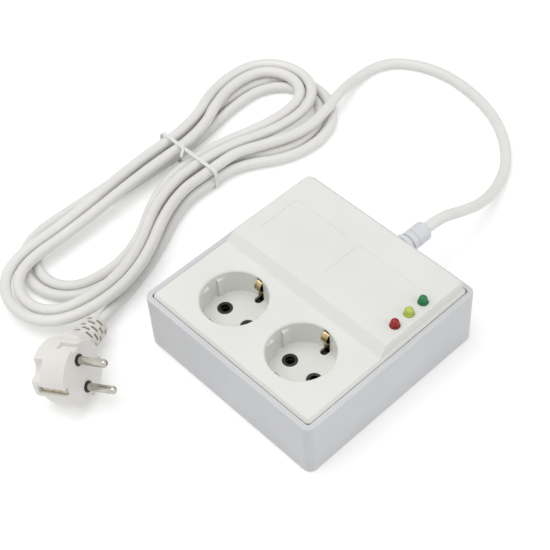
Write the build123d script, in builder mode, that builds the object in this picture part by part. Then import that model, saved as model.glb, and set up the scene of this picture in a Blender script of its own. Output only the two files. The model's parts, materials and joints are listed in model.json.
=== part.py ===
from build123d import *
import math
import os

# Refrigerator voltage protector: a square case with two earthed round-pin socket cups in the low half of its
# cover, a raised half over the electronics with three signal lamps, and a cord in a tied hank with its plug.
# Millimetres, +Z up, the origin in the middle of the underside, +X and +Y along the case's sides.

os.makedirs("parts", exist_ok=True)

# Case
CASE = 133.0
CASE_HEIGHT = 40.6
CASE_CORNER = 5.0
WALL = 3.4
FLOOR = 2.5
FOOT_EDGE = 1.2
COVER_GAP = 0.4

# Cover
LOW_RISE = 2.2
HIGH_RISE = 5.8
COVER_LOW = CASE_HEIGHT + LOW_RISE
COVER_HIGH = COVER_LOW + HIGH_RISE
COVER_WALL = 2.2
COVER_BEVEL = 1.35
COVER_CORNER = 2.6
SKIRT_DROP = 4.0
RAMP_CLEARANCE = 5.2
RAMP_RUN = 5.7
RAISED_LEAN = 1.05
LABEL_DEPTH = 0.3
LABEL_SIZE = (44.0, 30.0)
LABEL_X = (-29.0, 22.0)
LABEL_INSET = 40.5
RAISED_CORNER = 1.6
RAISED_EDGE = 0.5

# Sockets
SOCKET_PITCH = 53.4
SOCKET_INSET = 34.1
SOCKET_Y = SOCKET_INSET - CASE / 2
CUP_RADIUS = 19.75
CUP_MOUTH = 0.75
CUP_DEPTH = 17.5
CUP_WALL = 1.8
CUP_FLOOR = 2.0
GUIDE_REACH = 17.7
GUIDE_GAP = 7.0
GUIDE_WIDTH = 6.0
GUIDE_TOP = 2.5
GUIDE_SLOPE = 2.0
SLOT_WIDTH = 4.6
SLOT_ROOF = 0.8
KEY_END = 15.0
PIN_PITCH = 19.0
PIN_HOLE = 5.5
BOSS = 9.0
BOSS_GAP = 0.2

# Contacts
PLATE = 3.0
TULIP_OUTER = 7.0
TULIP_BORE = 4.9
TULIP_FOOT = 8.0
TULIP_GAP = 0.2
TULIP_REACH = 2.0
TULIP_SLIT = 1.0
TUBE_OUTER = 11.0
TUBE_DROP = 6.0
CHIMNEY_INNER = 5.6
CHIMNEY_WALL = 1.4
CHIMNEY_FAR = 24.4
CHIMNEY_GAP = 0.35
STRIP = 0.8
BAR_OFFSET = 6.0
BAR_HEIGHT = 5.0
BAR_TAB = 5.0
BAR_REST = (4.0, 3.0)
BAR_REST_X = 8.0
BRACKET_WIDTH = 6.0
BRACKET_BASE = 4.6
BRACKET_REST = 3.0
BRACKET_REST_X = 13.0
LUG_RISE = 1.2
SPRING_WIDTH = 4.0
SPRING_OFFSET = 21.0
SPRING_ROOT = 0.9
SPRING_HEAD = 16.7
SPRING_CURL = 3.2
HEAD_BELOW_COVER = 7.2
ARM_BELOW_HEAD = 6.1
TIP_ABOVE_HEAD = 4.0
RUN_GAP = 0.3
CARRIER = (31.0, 51.6)
STEM = 5.0
STEM_AT = (12.5, 22.5)

# Screws
POST = 10.0
POST_INSET = 12.5
POST_BELOW_RIM = 6.6
POST_AT = CASE / 2 - POST_INSET
POST_TOP = CASE_HEIGHT - POST_BELOW_RIM
SCREW = 3.4
SCREW_HEAD = 6.6
SCREW_HEAD_HEIGHT = 2.4
SCREW_GRIP = 14.0
SCREW_SEAT = POST_TOP - SCREW_GRIP
SCREW_LENGTH = 19.0
HEAD_GAP = 0.8
THREAD_GAP = 0.1
CARRIER_THREAD = 5.0
BOARD_THREAD = 4.0
CLAMP_THREAD = 6.0
SMALL_HEAD_HEIGHT = 1.6
CROSS_SLOT = (4.2, 0.9, 1.2)

# Circuit board
BOARD = (104.0, 44.0)
BOARD_INSET = (60.5, 42.0)
BOARD_CENTRE = (CASE / 2 - BOARD_INSET[0], CASE / 2 - BOARD_INSET[1])
BOARD_THICKNESS = 1.6
BOARD_STAND = 6.0
STANDOFF = 6.0
BOARD_SCREW = 2.5
HOLE_INSET = 4.0


def on_board(x, y):
    return (BOARD_CENTRE[0] + x, BOARD_CENTRE[1] + y)


# What stands on the board
RELAY = (20.0, 32.0, 26.0)
RELAY_AT = on_board(-36.4, 0.5)
CORE = (34.0, 14.0, 28.0)
CORE_AT = on_board(3.0, -0.5)
LEG = 5.0
CORE_WINDOW = 6.0
COIL_DEPTH = 25.0
WIND_GAP = 0.2
FILM = (6.5, 18.0, 12.0)
FILM_AT = on_board(-20.2, -3.5)
VARISTOR = 11.0
VARISTOR_AT = on_board(-20.2, 13.5)
FUSE_AT = on_board(17.0, -18.5)
FUSE_RISE = 5.0
FUSE_LENGTH = 20.0
FUSE_GLASS = 4.6
FUSE_CAP = 5.2
FUSE_CAP_LENGTH = 5.0
CLIP_WIDTH = 4.0
CLIP_STRIP = 0.6
CLIP_FOOT = (4.0, 2.8)
CLIP_MOUTH = (8.0, 4.0)
CLIP_MOUTH_RISE = 3.5
CHIP_AT = on_board(34.0, 13.5)
CHIP = (19.0, 6.4, 3.3)
CHIP_STAND = 1.0
CHIP_LEG = (0.5, 1.4, 2.6)
CHIP_LEG_PITCH = 2.54
CHIP_LEG_ROWS = 7.6
CANS = ((on_board(32.2, -12.0), 5.0, 16.0), (on_board(31.0, 1.0), 4.0, 12.0))
RESISTORS_AT = on_board(42.0, -13.7)
RESISTOR_PITCH = 3.6
DIODES_AT = on_board(18.5, 11.3)
DIODE_PITCH = 3.2
LEAD_WIRE = 0.6
TERMINAL_AT = on_board(3.5, 16.5)
TERMINAL = (15.6, 5.6, 10.0)
TERMINAL_PITCH = 5.08
TERMINAL_WELL = 3.8
TERMINAL_WELL_DEPTH = 4.0
WIRE = 1.9
WIRE_BEND = 2.4
WIRE_RISE = 4.0
WIRE_DROP = 3.5
SOCKET_WIRE_X = (-3.4, -0.5, 2.5)
SOCKET_WIRE_INSET = 19.5
SOCKET_WIRE_RISE = 6.4

# Signal lamps
LAMP_INSET = (12.3, 43.0)
LAMP_X = CASE / 2 - LAMP_INSET[0]
LAMP_Y = CASE / 2 - LAMP_INSET[1]
LAMP_PITCH = 11.3
LAMP_FLANGE = 5.9
LAMP_BODY = 5.0
LAMP_HEIGHT = 5.0
LAMP_GAP = 0.2
LAMP_BOARD = (7.0, 41.0)
LAMP_STAND = 1.2
LAMP_COLLAR = 1.0
LAMP_WIRE_SHIFT = 1.5
LAMP_WIRE_PITCH = 2.0
PEG = 1.5
PEG_INSET = 2.5

# Cord entry
GLAND_X = 10.6
GLAND_BELOW_RIM = 6.6
GLAND_Z = CASE_HEIGHT - GLAND_BELOW_RIM
GLAND_RADIUS = 6.2
GLAND_LENGTH = 18.8
GLAND_NECK = 5.0
GLAND_FLANGE = (7.1, 2.6)
GLAND_GROOVE = 4.9
GLAND_BEAD = 2.4
GLAND_RING = 8.2
GLAND_SLOT = (2.4, 4.6)
CORD = 7.0
CORD_BORE_GAP = 0.1
CLAMP = (27.0, 6.0)
CLAMP_INSET = 12.5
CLAMP_Y = CASE / 2 - CLAMP_INSET
CLAMP_ROOF = 2.6
CLAMP_SCREW_AT = 9.5
TAIL_PAST_CLAMP = 0.5

# Cord, hank and tie
FLOOR_LANE = 3.6
UPPER_LANE = 11.2
CORD_POINTS = [
    (10.6, 85.3, 34.0),
    (10.6, 99.0, 34.0),
    (12.8, 115.5, 27.5),
    (9.8, 138.0, 14.5),
    (3.4, 161.5, 5.2),
    (-6.0, 183.5, 3.6),
    (-24.0, 202.5, 3.6),
    (-49.0, 217.0, 3.6),
    (-84.0, 223.5, 3.6),
    (-108.0, 219.5, 3.6),
    (-125.5, 209.5, 3.6),
    (-133.5, 196.0, 3.6),
    (-134.2, 180.0, 3.9),
    (-131.0, 165.0, 7.6),
    (-126.0, 150.0, 11.4),
    (-121.0, 134.0, 11.4),
    (-118.5, 117.0, 11.4),
    (-121.0, 100.0, 11.4),
    (-128.5, 83.0, 11.4),
]
CORD_ARRIVAL = 23.0
LEAD_DEPARTURE = 21.0
LEAD_POINTS = [
    (-127.0, 4.0, 3.6),
    (-117.0, -14.0, 3.6),
    (-108.0, -34.0, 3.6),
    (-102.0, -54.0, 3.6),
]
HANK_START = 1
HANK_REVERSAL = 16
HANK_STATIONS = 33
HANK_MIDDLE = 2.0
LOOP_INNER = 21.6
LOOP_STEP = 7.95
WAIST_INNER = 3.6
WAIST_STEP = 10.2
APEX_STEP = 8.0
WAIST_Y = 43.0
WAIST_X = -158.0
WAIST_LIFT = 1.0
LEAD_LIFT = 4.4
SHOULDER_Y = (119.0, 115.0)
UPPER_LOBE_X = (-161.5, -148.0)
LOWER_LOBE_X = (-134.2, -147.0)
LOWER_LOBE_Y = (-78.0, -58.0)
TIE_WIDTH = 2.5
TIE_THICKNESS = 0.7
TIE_GAP = 0.25
TIE_CORNER = 4.0
TIE_TAIL = ((-4.0, 2.0), (0.0, -2.0), (4.0, -7.0))
TIE_TAIL_WIDTH = 1.6

# Plug
PLUG = 37.0
PLUG_LENGTH = 23.6
PLUG_AT = (-60.4, -118.0, 23.0)
PLUG_YAW = 24.5
PLUG_PITCH = 14.3
PLUG_ROLL = 11.4
PIN = 4.8
PIN_LENGTH = 19.0
PIN_ROOT = 6.0
PIN_ROOT_WIDTH = 4.0
PIN_SHOULDER_GAP = 0.2
COLLAR = 7.0
COLLAR_HEIGHT = 0.5
EARTH_GROOVE = (5.0, 3.0)
EARTH_STRIP = (4.2, 0.8, 17.5)
PLUG_NOTCH = (5.4, 2.6)
RELIEF_BACK = 16.5
RELIEF_NEAR = 24.0
RELIEF_FAR = 44.5
RELIEF_WIDE = 16.4
RELIEF_NARROW = 13.7
RELIEF_NOSE = 3.5
RELIEF_LIP = 0.7
RELIEF_STRAIGHT = 12.0
REAR_ROUND = 3.5
GRIP_AT = (15.4, 11.0)
GRIP_RADIUS = 6.8
GRIP_DEPTH = 8.0
STRIP_SET_IN = 0.6
STRIP_END_GAP = 0.4
# Neck sections: distance from the middle of the face, depth behind it, width, thickness and corner
NECK = (
    (5.0, 13.6, 30.0, 19.0, 7.0),
    (16.0, 14.6, 27.0, 17.6, 7.0),
    (RELIEF_NEAR, RELIEF_BACK, 17.6, 16.4, 7.5),
)


def rows(values, y):
    return [(value, y) for value in values]


socket_x = (-SOCKET_PITCH / 2, SOCKET_PITCH / 2)
socket_centres = rows(socket_x, SOCKET_Y)
posts = [(x, y) for x in (-POST_AT, POST_AT) for y in (-POST_AT, POST_AT)]
ramp_foot = SOCKET_Y + CUP_RADIUS + CUP_MOUTH + RAMP_CLEARANCE
label_centres = rows(LABEL_X, CASE / 2 - LABEL_INSET)
cover_side = CASE - 2 * (WALL + COVER_GAP)
cup_floor_top = COVER_LOW - CUP_DEPTH
cup_floor_bottom = cup_floor_top - CUP_FLOOR
plate_bottom = cup_floor_bottom - PLATE
board_bottom = FLOOR + BOARD_STAND
board_top = board_bottom + BOARD_THICKNESS
board_holes = [
    on_board(x * (BOARD[0] / 2 - HOLE_INSET), y * (BOARD[1] / 2 - HOLE_INSET))
    for x in (-1, 1)
    for y in (-1, 1)
]
ceiling_low = COVER_LOW - COVER_WALL
ceiling_high = COVER_HIGH - COVER_WALL
lamp_foot = ceiling_high - LAMP_STAND
peg_places = [(LAMP_X, LAMP_Y + side * (LAMP_BOARD[1] / 2 - PEG_INSET)) for side in (-1, 1)]
lamp_rows = [LAMP_Y + step * LAMP_PITCH for step in (-1, 0, 1)]
earth_top = BRACKET_BASE + STRIP
root_z = earth_top + SPRING_ROOT + 0.05
bar_sides = {"line": -1, "neutral": 1}
bar_lines = [SOCKET_Y + side * (BAR_OFFSET + STRIP / 2) for side in (-1, 1)]
bar_rests = [(x, y) for x in (-BAR_REST_X, BAR_REST_X) for y in bar_lines]
clamp_top = GLAND_Z - CORD / 2
clamp_height = GLAND_Z + CORD / 2 + CLAMP_ROOF
clamp_holes = [(GLAND_X + side * CLAMP_SCREW_AT, CLAMP_Y) for side in (-1, 1)]
tail_end = CLAMP_Y - CLAMP[1] / 2 - TAIL_PAST_CLAMP
tulip_top = plate_bottom + TULIP_REACH
chimney_near = CUP_RADIUS + CUP_WALL + CHIMNEY_GAP
head_z = COVER_LOW - HEAD_BELOW_COVER
arm_top = head_z - ARM_BELOW_HEAD
terminal_top = board_top + TERMINAL[2]
terminal_face = TERMINAL_AT[1] + TERMINAL[1] / 2
terminal_ways = [(TERMINAL_AT[0] + step * TERMINAL_PITCH, TERMINAL_AT[1]) for step in (-1, 0, 1)]
stems = [(x + sign * STEM_AT[0], SOCKET_Y + sign * STEM_AT[1]) for x in socket_x for sign in (-1, 1)]
slot_length = CUP_RADIUS + CUP_WALL + 0.5 - KEY_END - SLOT_WIDTH / 2
slot_noses = [(x, SOCKET_Y + side * (KEY_END + SLOT_WIDTH / 2)) for x in socket_x for side in (-1, 1)]
slot_runs = [
    (x, SOCKET_Y + side * (KEY_END + SLOT_WIDTH / 2 + slot_length / 2)) for x in socket_x for side in (-1, 1)
]

# Base shell: a deep tray with screw posts, board stands, contact rests and the cord's clamp block
with BuildPart() as base_shell:
    with BuildSketch():
        RectangleRounded(CASE, CASE, CASE_CORNER)
    extrude(amount=CASE_HEIGHT)
    fillet(base_shell.faces().sort_by(Axis.Z)[0].edges(), FOOT_EDGE)
    with BuildSketch(Plane.XY.offset(FLOOR)):
        RectangleRounded(CASE - 2 * WALL, CASE - 2 * WALL, CASE_CORNER - WALL)
    extrude(amount=CASE_HEIGHT, mode=Mode.SUBTRACT)
    fillet(base_shell.faces().sort_by(Axis.Z)[-1].outer_wire().edges(), 0.5)
    with BuildSketch(Plane.XY.offset(FLOOR)):
        with Locations(*posts):
            Circle(POST / 2)
    extrude(amount=POST_TOP - FLOOR)
    with BuildSketch(Plane.XY.offset(FLOOR)):
        with Locations(*board_holes):
            Circle(STANDOFF / 2)
    extrude(amount=BOARD_STAND)
    with BuildSketch(Plane.XY.offset(FLOOR)):
        with Locations((GLAND_X, CLAMP_Y)):
            Rectangle(*CLAMP)
    extrude(amount=clamp_top - FLOOR)
    with BuildSketch(Plane.XY.offset(FLOOR)):
        with Locations(*bar_rests):
            Rectangle(*BAR_REST)
    extrude(amount=TULIP_FOOT - FLOOR)
    with BuildSketch(Plane.XY.offset(FLOOR)):
        with Locations(*rows((-BRACKET_REST_X, BRACKET_REST_X), SOCKET_Y)):
            Rectangle(BRACKET_REST, BRACKET_WIDTH)
    extrude(amount=BRACKET_BASE - STRIP - FLOOR)
    with BuildSketch():
        with Locations(*posts):
            Circle(SCREW_HEAD / 2 + HEAD_GAP / 2)
    extrude(amount=SCREW_SEAT, mode=Mode.SUBTRACT)
    with BuildSketch(Plane.XY.offset(SCREW_SEAT)):
        with Locations(*posts):
            Circle(SCREW / 2 + THREAD_GAP)
    extrude(amount=POST_TOP - SCREW_SEAT, mode=Mode.SUBTRACT)
    with BuildSketch(Plane.XY.offset(board_bottom)):
        with Locations(*board_holes):
            Circle(BOARD_SCREW / 2 + THREAD_GAP / 2)
    extrude(amount=-BOARD_THREAD - 1.0, mode=Mode.SUBTRACT)
    with BuildSketch(Plane.XY.offset(clamp_top)):
        with Locations(*clamp_holes):
            Circle(BOARD_SCREW / 2 + THREAD_GAP / 2)
    extrude(amount=-CLAMP_THREAD - 1.0, mode=Mode.SUBTRACT)
    with BuildSketch(Plane.XZ.offset(-CASE / 2)):
        with Locations((GLAND_X, GLAND_Z)):
            Circle(GLAND_NECK + THREAD_GAP)
    extrude(amount=WALL, mode=Mode.SUBTRACT)
base_shell.part.label = "base_shell"
export_step(base_shell.part, "parts/base_shell.step")

# Top cover: a low field with the two socket mouths, a ramp, and a raised field with a lamp row
with BuildPart() as top_cover:
    with BuildSketch(Plane.XY.offset(CASE_HEIGHT - SKIRT_DROP)):
        RectangleRounded(cover_side, cover_side, COVER_CORNER)
    extrude(amount=SKIRT_DROP)
    with BuildSketch(Plane.XY.offset(CASE_HEIGHT)):
        RectangleRounded(cover_side, cover_side, COVER_CORNER)
    with BuildSketch(Plane.XY.offset(COVER_LOW)):
        RectangleRounded(cover_side - 2 * COVER_BEVEL, cover_side - 2 * COVER_BEVEL, COVER_CORNER - 1.0)
    loft(ruled=True)
    raised_half = cover_side / 2 - COVER_BEVEL
    raised_foot = (raised_half + ramp_foot) / 2
    raised_crest = (raised_half - RAISED_LEAN + ramp_foot + RAMP_RUN) / 2
    with BuildSketch(Plane.XY.offset(COVER_LOW)):
        with Locations((0, raised_foot)):
            Rectangle(2 * raised_half, raised_half - ramp_foot)
    with BuildSketch(Plane.XY.offset(COVER_HIGH)):
        with Locations((0, raised_crest)):
            Rectangle(2 * (raised_half - RAISED_LEAN), raised_half - RAISED_LEAN - ramp_foot - RAMP_RUN)
    loft(ruled=True)
    corner_edges = [
        edge
        for edge in top_cover.edges()
        if abs(edge.center().Z - (COVER_LOW + COVER_HIGH) / 2) < 0.1 and edge.center().Y > CASE / 4
    ]
    fillet(corner_edges, RAISED_CORNER)
    fillet(top_cover.faces().sort_by(Axis.Z)[-1].edges(), RAISED_EDGE)
    # The hollow inside
    inner = cover_side - 2 * COVER_WALL
    with BuildSketch(Plane.XY.offset(CASE_HEIGHT - SKIRT_DROP)):
        RectangleRounded(inner, inner, 1.0)
    extrude(amount=ceiling_low - CASE_HEIGHT + SKIRT_DROP, mode=Mode.SUBTRACT)
    with BuildSketch(Plane.XY.offset(ceiling_low)):
        with Locations((0, raised_foot + COVER_WALL / 2)):
            Rectangle(2 * (raised_half - COVER_WALL), raised_half - ramp_foot - 3 * COVER_WALL)
    with BuildSketch(Plane.XY.offset(ceiling_high)):
        with Locations((0, raised_crest)):
            Rectangle(
                2 * (raised_half - RAISED_LEAN - COVER_WALL),
                raised_half - RAISED_LEAN - ramp_foot - RAMP_RUN - 2 * COVER_WALL,
            )
    loft(ruled=True, mode=Mode.SUBTRACT)
    # Socket mouths, with a bevelled rim and a relief over each earth slot
    with BuildSketch(Plane.XY.offset(ceiling_low)):
        with Locations(*socket_centres):
            Circle(CUP_RADIUS)
    extrude(amount=COVER_WALL, mode=Mode.SUBTRACT)
    for centre in socket_centres:
        with BuildSketch(Plane.XY.offset(COVER_LOW - CUP_MOUTH)):
            with Locations(centre):
                Circle(CUP_RADIUS)
        with BuildSketch(Plane.XY.offset(COVER_LOW)):
            with Locations(centre):
                Circle(CUP_RADIUS + CUP_MOUTH)
        loft(mode=Mode.SUBTRACT)
    with BuildSketch(Plane.XY.offset(ceiling_low)):
        with Locations(*slot_noses):
            Circle(SLOT_WIDTH / 2)
        with Locations(*slot_runs):
            Rectangle(SLOT_WIDTH, slot_length)
    extrude(amount=COVER_WALL - SLOT_ROOF, mode=Mode.SUBTRACT)
    # Screw posts, carrier stems, the skirt's notch over the cord, lamp holes and the shallow label fields
    with BuildSketch(Plane.XY.offset(cup_floor_bottom)):
        with Locations(*stems):
            Circle(STEM / 2)
    extrude(amount=ceiling_low - cup_floor_bottom)
    with BuildSketch(Plane.XY.offset(cup_floor_bottom)):
        with Locations(*stems):
            Circle(BOARD_SCREW / 2 + THREAD_GAP / 2)
    extrude(amount=CARRIER_THREAD + 1.0, mode=Mode.SUBTRACT)
    with BuildSketch(Plane.XY.offset(CASE_HEIGHT - SKIRT_DROP)):
        with Locations((GLAND_X, cover_side / 2 - COVER_WALL / 2)):
            Rectangle(2 * GLAND_RADIUS + 2.0, COVER_WALL + 1.0)
    extrude(amount=SKIRT_DROP, mode=Mode.SUBTRACT)
    with BuildSketch(Plane.XY.offset(POST_TOP)):
        with Locations(*posts):
            Circle(POST / 2 - 1.0)
    extrude(until=Until.NEXT)
    with BuildSketch(Plane.XY.offset(POST_TOP)):
        with Locations(*posts):
            Circle(SCREW / 2 + THREAD_GAP / 2)
    extrude(amount=SCREW_LENGTH - POST_TOP + SCREW_SEAT + 0.6, mode=Mode.SUBTRACT)
    with BuildSketch(Plane.XY.offset(ceiling_high)):
        with Locations(*[(LAMP_X, y) for y in lamp_rows]):
            Circle(LAMP_FLANGE / 2 + LAMP_GAP)
    extrude(amount=COVER_WALL, mode=Mode.SUBTRACT)
    with BuildSketch(Plane.XY.offset(ceiling_high)):
        with Locations(*peg_places):
            Circle(PEG + 1.0)
    extrude(amount=lamp_foot - ceiling_high)
    with BuildSketch(Plane.XY.offset(ceiling_high)):
        with Locations(*peg_places):
            Circle(PEG)
    extrude(amount=lamp_foot - ceiling_high - BOARD_THICKNESS - 0.8)
    with BuildSketch(Plane.XY.offset(COVER_HIGH)):
        with Locations(*label_centres):
            RectangleRounded(*LABEL_SIZE, 2.0)
    extrude(amount=-LABEL_DEPTH, mode=Mode.SUBTRACT)
top_cover.part.label = "top_cover"
export_step(top_cover.part, "parts/top_cover.step")

# Socket cups, clamped under the cover's mouths by the contact carriers, with guides for the plug's notches
for name, centre_x in (("left", socket_x[0]), ("right", socket_x[1])):
    with BuildPart() as socket_cup:
        with BuildSketch(Plane.XY.offset(cup_floor_bottom)):
            with Locations((centre_x, SOCKET_Y)):
                Circle(CUP_RADIUS + CUP_WALL)
        extrude(amount=ceiling_low - cup_floor_bottom)
        with BuildSketch(Plane.XY.offset(cup_floor_top)):
            with Locations((centre_x, SOCKET_Y)):
                Circle(CUP_RADIUS)
        extrude(amount=ceiling_low - cup_floor_top, mode=Mode.SUBTRACT)
        for side_x in (-1, 1):
            for side_y in (-1, 1):
                near = side_y * GUIDE_GAP / 2
                with BuildSketch(Plane.XZ.offset(-(SOCKET_Y + near))):
                    with BuildLine():
                        Polyline(
                            (centre_x + side_x * GUIDE_REACH, cup_floor_top),
                            (centre_x + side_x * GUIDE_REACH, COVER_LOW - GUIDE_TOP - GUIDE_SLOPE),
                            (centre_x + side_x * (CUP_RADIUS + 0.8), COVER_LOW - GUIDE_TOP),
                            (centre_x + side_x * (CUP_RADIUS + 0.8), cup_floor_top),
                            close=True,
                        )
                    make_face()
                extrude(amount=-side_y * GUIDE_WIDTH)
        with BuildSketch(Plane.XY.offset(cup_floor_bottom)):
            with Locations(*slot_noses):
                Circle(SLOT_WIDTH / 2)
            with Locations(*slot_runs):
                Rectangle(SLOT_WIDTH, slot_length)
        extrude(amount=ceiling_low - cup_floor_bottom, mode=Mode.SUBTRACT)
        with BuildSketch(Plane.XY.offset(cup_floor_bottom)):
            with Locations(*rows((centre_x - PIN_PITCH / 2, centre_x + PIN_PITCH / 2), SOCKET_Y)):
                Circle(BOSS / 2 + BOSS_GAP / 2)
        extrude(amount=CUP_FLOOR, mode=Mode.SUBTRACT)
    socket_cup.part.label = f"socket_cup_{name}"
    export_step(socket_cup.part, f"parts/socket_cup_{name}.step")

# Cover screws, driven up through the base's posts
with BuildPart() as cover_screws:
    with BuildSketch(Plane.XY.offset(SCREW_SEAT - SCREW_HEAD_HEIGHT)):
        with Locations(*posts):
            Circle(SCREW_HEAD / 2)
    extrude(amount=SCREW_HEAD_HEIGHT)
    with BuildSketch(Plane.XY.offset(SCREW_SEAT - SCREW_HEAD_HEIGHT)):
        with Locations(*posts):
            Rectangle(CROSS_SLOT[0], CROSS_SLOT[1])
            Rectangle(CROSS_SLOT[1], CROSS_SLOT[0])
    extrude(amount=CROSS_SLOT[2], mode=Mode.SUBTRACT)
    with BuildSketch(Plane.XY.offset(SCREW_SEAT)):
        with Locations(*posts):
            Circle(SCREW / 2)
    extrude(amount=SCREW_LENGTH - SCREW_HEAD_HEIGHT)
cover_screws.part.label = "cover_screws"
export_step(cover_screws.part, "parts/cover_screws.step")

# Contact carriers: a black plate under each cup with two pin bosses and a chimney behind each earth slot
for name, centre_x in (("left", socket_x[0]), ("right", socket_x[1])):
    pins = rows((centre_x - PIN_PITCH / 2, centre_x + PIN_PITCH / 2), SOCKET_Y)
    with BuildPart() as contact_carrier:
        with BuildSketch(Plane.XY.offset(plate_bottom)):
            with Locations((centre_x, SOCKET_Y)):
                RectangleRounded(*CARRIER, 2.0)
            with Locations(*[stem for stem in stems if abs(stem[0] - centre_x) < CARRIER[0] / 2]):
                Circle(BOARD_SCREW / 2 + THREAD_GAP, mode=Mode.SUBTRACT)
        extrude(amount=PLATE)
        with BuildSketch(Plane.XY.offset(cup_floor_bottom)):
            with Locations(*pins):
                Circle(BOSS / 2)
        extrude(amount=CUP_FLOOR)
        with BuildSketch(Plane.XY.offset(plate_bottom - TUBE_DROP)):
            with Locations(*pins):
                Circle(TUBE_OUTER / 2)
        extrude(amount=TUBE_DROP)
        with BuildSketch(Plane.XY.offset(cup_floor_bottom)):
            for side in (-1, 1):
                with Locations((centre_x, SOCKET_Y + side * (chimney_near + CHIMNEY_FAR + CHIMNEY_WALL) / 2)):
                    Rectangle(CHIMNEY_INNER + 2 * CHIMNEY_WALL, CHIMNEY_FAR + CHIMNEY_WALL - chimney_near)
        extrude(amount=ceiling_low - 0.3 - cup_floor_bottom)
        with BuildSketch(Plane.XY.offset(plate_bottom)):
            for side in (-1, 1):
                with Locations((centre_x, SOCKET_Y + side * (CHIMNEY_FAR + SPRING_HEAD + 2.6) / 2)):
                    Rectangle(CHIMNEY_INNER, CHIMNEY_FAR - SPRING_HEAD - 2.6)
        extrude(amount=ceiling_low - plate_bottom, mode=Mode.SUBTRACT)
        with BuildSketch(Plane.XY.offset(plate_bottom - TUBE_DROP)):
            with Locations(*pins):
                Circle(TULIP_OUTER / 2 + TULIP_GAP / 2)
        extrude(amount=tulip_top - plate_bottom + TUBE_DROP, mode=Mode.SUBTRACT)
        with BuildSketch(Plane.XY.offset(tulip_top)):
            with Locations(*pins):
                Circle(PIN_HOLE / 2)
        extrude(amount=cup_floor_top - tulip_top, mode=Mode.SUBTRACT)
    contact_carrier.part.label = f"contact_carrier_{name}"
    export_step(contact_carrier.part, f"parts/contact_carrier_{name}.step")

with BuildPart() as carrier_screws:
    with BuildSketch(Plane.XY.offset(plate_bottom)):
        with Locations(*stems):
            Circle(BOARD_SCREW)
    extrude(amount=-SMALL_HEAD_HEIGHT)
    with BuildSketch(Plane.XY.offset(plate_bottom)):
        with Locations(*stems):
            Circle(BOARD_SCREW / 2)
    extrude(amount=PLATE + CARRIER_THREAD)
carrier_screws.part.label = "carrier_screws"
export_step(carrier_screws.part, "parts/carrier_screws.step")

# Line and neutral bars, each with two slit pin tulips standing on side tabs
for name, side in bar_sides.items():
    tulips = rows([x + side * PIN_PITCH / 2 for x in socket_x], SOCKET_Y)
    bar_y = SOCKET_Y + side * (BAR_OFFSET + STRIP / 2)
    with BuildPart() as pin_bar:
        with BuildSketch(Plane.XY.offset(TULIP_FOOT)):
            with Locations(*tulips):
                Circle(TULIP_OUTER / 2)
        extrude(amount=tulip_top - TULIP_FOOT)
        with BuildSketch(Plane.XY.offset(TULIP_FOOT)):
            with Locations((sum(x for x, _ in tulips) / 2, bar_y)):
                Rectangle(SOCKET_PITCH + BAR_TAB, STRIP)
        extrude(amount=BAR_HEIGHT)
        with BuildSketch(Plane.XY.offset(TULIP_FOOT)):
            with Locations(*[(x, SOCKET_Y + side * BAR_OFFSET / 2) for x, _ in tulips]):
                Rectangle(BAR_TAB, BAR_OFFSET)
        extrude(amount=STRIP)
        with BuildSketch(Plane.XY.offset(TULIP_FOOT)):
            with Locations(*tulips):
                Circle(TULIP_BORE / 2)
        extrude(amount=tulip_top - TULIP_FOOT, mode=Mode.SUBTRACT)
        with BuildSketch(Plane.XY.offset(TULIP_FOOT + BAR_HEIGHT)):
            with Locations(*tulips):
                Rectangle(TULIP_SLIT, TULIP_OUTER + 1.0)
        extrude(amount=tulip_top - TULIP_FOOT, mode=Mode.SUBTRACT)
    pin_bar.part.label = f"{name}_bar"
    export_step(pin_bar.part, f"parts/{name}_bar.step")

# Earth bar: a cross strip under each socket, turned up at its ends to hold the springs' roots, and a link
with BuildPart() as earth_bar:
    with BuildSketch(Plane.XY.offset(BRACKET_BASE)):
        with Locations(*socket_centres):
            Rectangle(BRACKET_WIDTH, 2 * (SPRING_OFFSET + SPRING_ROOT + RUN_GAP + STRIP))
    extrude(amount=STRIP)
    with BuildSketch(Plane.XY.offset(BRACKET_BASE)):
        for side in (-1, 1):
            outer_lug = side * (SPRING_OFFSET + SPRING_ROOT + RUN_GAP + STRIP / 2)
            inner_lug = side * (SPRING_OFFSET - SPRING_ROOT - RUN_GAP - STRIP / 2)
            with Locations(*[(x, SOCKET_Y + outer_lug) for x in socket_x]):
                Rectangle(BRACKET_WIDTH, STRIP)
            with Locations(*[(x, SOCKET_Y + inner_lug) for x in socket_x]):
                Rectangle(BRACKET_WIDTH, STRIP)
    extrude(amount=root_z + SPRING_ROOT + LUG_RISE - BRACKET_BASE)
    with BuildSketch(Plane.XY.offset(BRACKET_BASE - STRIP)):
        with Locations((0, SOCKET_Y)):
            Rectangle(SOCKET_PITCH + BRACKET_WIDTH, BRACKET_WIDTH)
    extrude(amount=STRIP)
earth_bar.part.label = "earth_bar"
export_step(earth_bar.part, "parts/earth_bar.step")

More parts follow.
